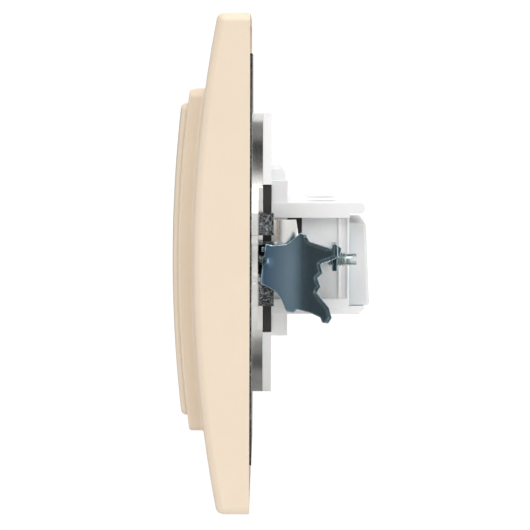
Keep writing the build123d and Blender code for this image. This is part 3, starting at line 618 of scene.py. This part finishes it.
def claw_screw(side):
    """A long screw with a slotted domed head in front and a slotted reduced tip at the rear."""
    node = f"claw_screw_{side}"
    low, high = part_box(node)
    head_radius = (high[2] - low[2]) / 2
    axis = [joint for joint in frame["joints"] if joint["name"] == f"{node}_turn"][0]["pos_m"]
    # made about +Z, which becomes -Y, so lengths are measured from the origin towards the room
    tip = -high[1]
    head_top = -low[1]
    thread_start = tip + CLAW_TIP_LENGTH
    head_base = head_top - CLAW_HEAD_HEIGHT
    shank_radius = CLAW_SHANK_RADIUS - SHANK_CLEARANCE
    rows = [plain_row(tip, CLAW_TIP_RADIUS - TIP_CHAMFER)]
    rows.append(plain_row(tip + TIP_CHAMFER, CLAW_TIP_RADIUS))
    rows.append(plain_row(thread_start - TIP_NECK, CLAW_TIP_RADIUS))
    rows += thread_rows(thread_start, head_base, CLAW_PITCH, shank_radius, CLAW_THREAD_DEPTH)
    rows += domed_head(head_base, CLAW_HEAD_HEIGHT, head_radius)
    mesh = turned_mesh(node, rows)
    mesh = cut_slot(mesh, SLOT_WIDTH, head_top - SLOT_DEPTH, head_top + MM, 2 * head_radius)
    mesh = cut_slot(mesh, TIP_SLOT_WIDTH, tip - MM, tip + TIP_SLOT_DEPTH, 2 * head_radius)
    lie(mesh, ((1, 0, 0), (0, 0, 1), (0, -1, 0)), (axis[0], 0, 0))
    soften(add_piece(f"{node}_threaded", mesh, node, node), 0.06 * MM)


for screw_side, _ in SIDES:
    claw_screw(screw_side)

TERMINAL_PITCH = 0.5 * MM
TERMINAL_THREAD_DEPTH = 0.26 * MM
TERMINAL_HEAD_HEIGHT = 1.4 * MM
TERMINAL_THREAD_RADIUS = 1.67 * MM
TERMINAL_CHAMFER = 0.35 * MM
TERMINAL_CHAMFER_END = 0.3 * MM
TERMINAL_THREAD_START = 0.35 * MM
TERMINAL_SLOT_TURN = math.radians(25)


def terminal_screw(pole, row, sign):
    """A clamping screw: a threaded shank with a chamfered end and a slotted head."""
    node = f"terminal_screw_{pole}_{row}"
    low, high = (np.array(corner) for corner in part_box(node))
    centre = (low + high) / 2
    head_radius = (high[0] - low[0]) / 2
    height = high[2] - low[2]
    head_base = height - TERMINAL_HEAD_HEIGHT
    core = TERMINAL_THREAD_RADIUS - TERMINAL_THREAD_DEPTH
    rows = [plain_row(0, core - TERMINAL_CHAMFER), plain_row(TERMINAL_CHAMFER_END, core)]
    thread = (TERMINAL_PITCH, TERMINAL_THREAD_RADIUS, TERMINAL_THREAD_DEPTH)
    rows += thread_rows(TERMINAL_THREAD_START, head_base, *thread)
    rows += domed_head(head_base, TERMINAL_HEAD_HEIGHT, head_radius)
    mesh = turned_mesh(node, rows)
    turn = TERMINAL_SLOT_TURN * (1 if pole == "neutral" else -1) * sign
    mesh = cut_slot(mesh, SLOT_WIDTH, height - SLOT_WIDTH, height + MM, 2 * head_radius, turn)
    tip = low[2] if sign > 0 else high[2]
    lie(mesh, ((1, 0, 0), (0, sign, 0), (0, 0, sign)), (centre[0], centre[1], tip))
    soften(add_piece(f"{node}_threaded", mesh, node, node), 0.05 * MM)


for screw_pole in ("line", "neutral"):
    for screw_row, screw_sign in (("upper", 1), ("lower", -1)):
        terminal_screw(screw_pole, screw_row, screw_sign)


def shutter_spring(row):
    """A shutter's coil spring, copied as it stands, which rides on the device."""
    node = f"shutter_spring_{row}"
    coil = add_piece(f"{node}_coil", nodes[node].data.copy(), "device", node)
    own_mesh(coil)


shutter_spring("upper")
shutter_spring("lower")


# ---------------------------------------------------------------- studio
# metres, but millimetres for the lens and the sensor and degrees for the roll
STUDIO_DROP = 75 * MM
FLOOR_RADIUS = 0.45
BACKGROUND = 1.05
LENS = 241.4
SENSOR = 36.0
CAMERA_PLACE = (0.6416, 0.0023, 0.0324)
CAMERA_AIM = (0.0425, 0.0023, 0.0)
CAMERA_ROLL = 0.16


def floor_finish():
    """A pale floor that fades into the white surroundings towards its rim."""
    finish = Finish("pale_floor", Roughness=0.85)
    tone = finish.noise(0.08, detail=2)
    finish.colour(finish.mixed(finish.spread(tone, 0, 1), (0.93, 0.93, 0.93), (0.91, 0.91, 0.91)))
    length = finish.tree.nodes.new("ShaderNodeVectorMath")
    length.operation = "LENGTH"
    finish.link(finish.place, length.inputs[0])
    path = finish.tree.nodes.new("ShaderNodeLightPath")
    fade = finish.spread(length.outputs["Value"], 0, 1, 0.35 * FLOOR_RADIUS, 0.95 * FLOOR_RADIUS)
    amount = finish.times(fade, path.outputs["Is Camera Ray"])
    white = finish.tree.nodes.new("ShaderNodeEmission")
    white.inputs["Strength"].default_value = BACKGROUND
    mix = finish.tree.nodes.new("ShaderNodeMixShader")
    finish.link(amount, mix.inputs["Fac"])
    finish.link(finish.shader.outputs["BSDF"], mix.inputs[1])
    finish.link(white.outputs["Emission"], mix.inputs[2])
    finish.link(mix.outputs["Shader"], finish.tree.nodes["Material Output"].inputs["Surface"])
    return finish.material


def add_floor():
    """A round floor well below the device."""
    disc = bmesh.new()
    bmesh.ops.create_circle(disc, cap_ends=True, segments=96, radius=FLOOR_RADIUS)
    mesh = bpy.data.meshes.new("floor")
    disc.to_mesh(mesh)
    disc.free()
    floor = bpy.data.objects.new("floor", mesh)
    bpy.context.scene.collection.objects.link(floor)
    floor.location.z = cad_box[0][2] - STUDIO_DROP
    floor.visible_glossy = False
    mesh.materials.append(floor_finish())


def add_softbox(name, place, width, height, power, reflected=True):
    """A soft rectangular light that faces the device."""
    light = bpy.data.lights.new(name, "AREA")
    light.shape = "RECTANGLE"
    light.size = width
    light.size_y = height
    light.energy = power
    obj = bpy.data.objects.new(name, light)
    bpy.context.scene.collection.objects.link(obj)
    obj.location = place
    obj.rotation_euler = (-Vector(place)).to_track_quat("-Z", "Y").to_euler()
    obj.visible_glossy = reflected


def grey_ramp(tree, socket, stops):
    """A grey scale over stops of (position from 0 to 1, brightness)."""
    ramp = tree.nodes.new("ShaderNodeValToRGB")
    while len(ramp.color_ramp.elements) < len(stops):
        ramp.color_ramp.elements.new(0.5)
    for element, (position, value) in zip(ramp.color_ramp.elements, stops):
        element.position = position
        element.color = (value, value, value, 1)
    tree.links.new(socket, ramp.inputs["Fac"])
    return ramp.outputs["Color"]


# brightness of the studio as polished metal sees it, by degrees from +X towards +Y
ROUND_THE_STUDIO = (
    (-180, 0.26), (-130, 0.35), (-100, 1.0), (-60, 1.0), (-38, 0.7), (-24, 0.32), (-10, 0.2), (-3, 0.85),
    (8, 1.0), (30, 1.0), (60, 1.0), (95, 0.7), (130, 0.3), (180, 0.26),
)
# and by the sine of the height above the horizon
UP_THE_STUDIO = ((-1.0, 0.26), (-0.96, 0.3), (-0.92, 1.0), (0.92, 1.0), (0.965, 0.14), (1.0, 0.1))
SKY_TILT = (0.25, 0.4, 0.88)
SKY_LOW = 0.25
SKY_HIGH = 0.8


def add_world():
    """White behind the device; for light, brighter above; for polished metal, a studio with dark flags."""
    world = bpy.data.worlds.new("studio")
    bpy.context.scene.world = world
    world.use_nodes = True
    tree = world.node_tree
    tree.nodes.clear()
    place = tree.nodes.new("ShaderNodeTexCoord")
    split = tree.nodes.new("ShaderNodeSeparateXYZ")
    tree.links.new(place.outputs["Generated"], split.inputs["Vector"])
    tilt = tree.nodes.new("ShaderNodeVectorMath")
    tilt.operation = "DOT_PRODUCT"
    tree.links.new(place.outputs["Generated"], tilt.inputs[0])
    tilt.inputs[1].default_value = SKY_TILT
    sky = tree.nodes.new("ShaderNodeMapRange")
    sky.inputs["From Min"].default_value = -1
    sky.inputs["To Min"].default_value = SKY_LOW
    sky.inputs["To Max"].default_value = SKY_HIGH
    tree.links.new(tilt.outputs["Value"], sky.inputs["Value"])
    angle = tree.nodes.new("ShaderNodeMath")
    angle.operation = "ARCTAN2"
    tree.links.new(split.outputs["Y"], angle.inputs[0])
    tree.links.new(split.outputs["X"], angle.inputs[1])
    turn = tree.nodes.new("ShaderNodeMapRange")
    turn.inputs["From Min"].default_value = -math.pi
    turn.inputs["From Max"].default_value = math.pi
    tree.links.new(angle.outputs["Value"], turn.inputs["Value"])
    around = grey_ramp(tree, turn.outputs["Result"], [((a + 180) / 360, v) for a, v in ROUND_THE_STUDIO])
    height = tree.nodes.new("ShaderNodeMapRange")
    height.inputs["From Min"].default_value = -1
    tree.links.new(split.outputs["Z"], height.inputs["Value"])
    up = grey_ramp(tree, height.outputs["Result"], [((h + 1) / 2, v) for h, v in UP_THE_STUDIO])
    seen = tree.nodes.new("ShaderNodeMix")
    seen.data_type = "RGBA"
    seen.blend_type = "MULTIPLY"
    seen.inputs["Factor"].default_value = 1
    tree.links.new(around, seen.inputs[6])
    tree.links.new(up, seen.inputs[7])
    path = tree.nodes.new("ShaderNodeLightPath")
    glossy = tree.nodes.new("ShaderNodeMix")
    glossy.data_type = "RGBA"
    tree.links.new(path.outputs["Is Glossy Ray"], glossy.inputs["Factor"])
    tree.links.new(sky.outputs["Result"], glossy.inputs[6])
    tree.links.new(seen.outputs[2], glossy.inputs[7])
    mix = tree.nodes.new("ShaderNodeMix")
    mix.data_type = "RGBA"
    tree.links.new(path.outputs["Is Camera Ray"], mix.inputs["Factor"])
    tree.links.new(glossy.outputs[2], mix.inputs[6])
    mix.inputs[7].default_value = (BACKGROUND, BACKGROUND, BACKGROUND, 1)
    background = tree.nodes.new("ShaderNodeBackground")
    tree.links.new(mix.outputs[2], background.inputs["Color"])
    output = tree.nodes.new("ShaderNodeOutputWorld")
    tree.links.new(background.outputs["Background"], output.inputs["Surface"])


def add_camera():
    """A long lens beside the device, a little above its middle."""
    data = bpy.data.cameras.new("camera")
    data.lens = LENS
    data.sensor_width = SENSOR
    data.clip_start = 0.01
    camera = bpy.data.objects.new("camera", data)
    bpy.context.scene.collection.objects.link(camera)
    camera.location = CAMERA_PLACE
    turn = (Vector(CAMERA_AIM) - Vector(CAMERA_PLACE)).to_track_quat("-Z", "Y").to_euler()
    camera.rotation_euler = turn
    camera.rotation_euler.rotate_axis("Z", math.radians(CAMERA_ROLL))
    bpy.context.scene.camera = camera


add_floor()
add_world()
add_softbox("key", (0.62, -0.1, 0.55), width=0.5, height=0.5, power=2.25)
add_softbox("top", (0.05, 0.1, 0.8), width=0.6, height=0.6, power=3.1, reflected=False)
add_softbox("rear_fill", (0.3, 0.7, 0.15), width=0.4, height=0.6, power=1.25)
add_softbox("left_fill", (-0.7, -0.1, 0.3), width=0.5, height=0.5, power=0.6)
add_camera()
bpy.context.scene.view_settings.view_transform = "Standard"
bpy.context.scene.view_settings.look = "None"
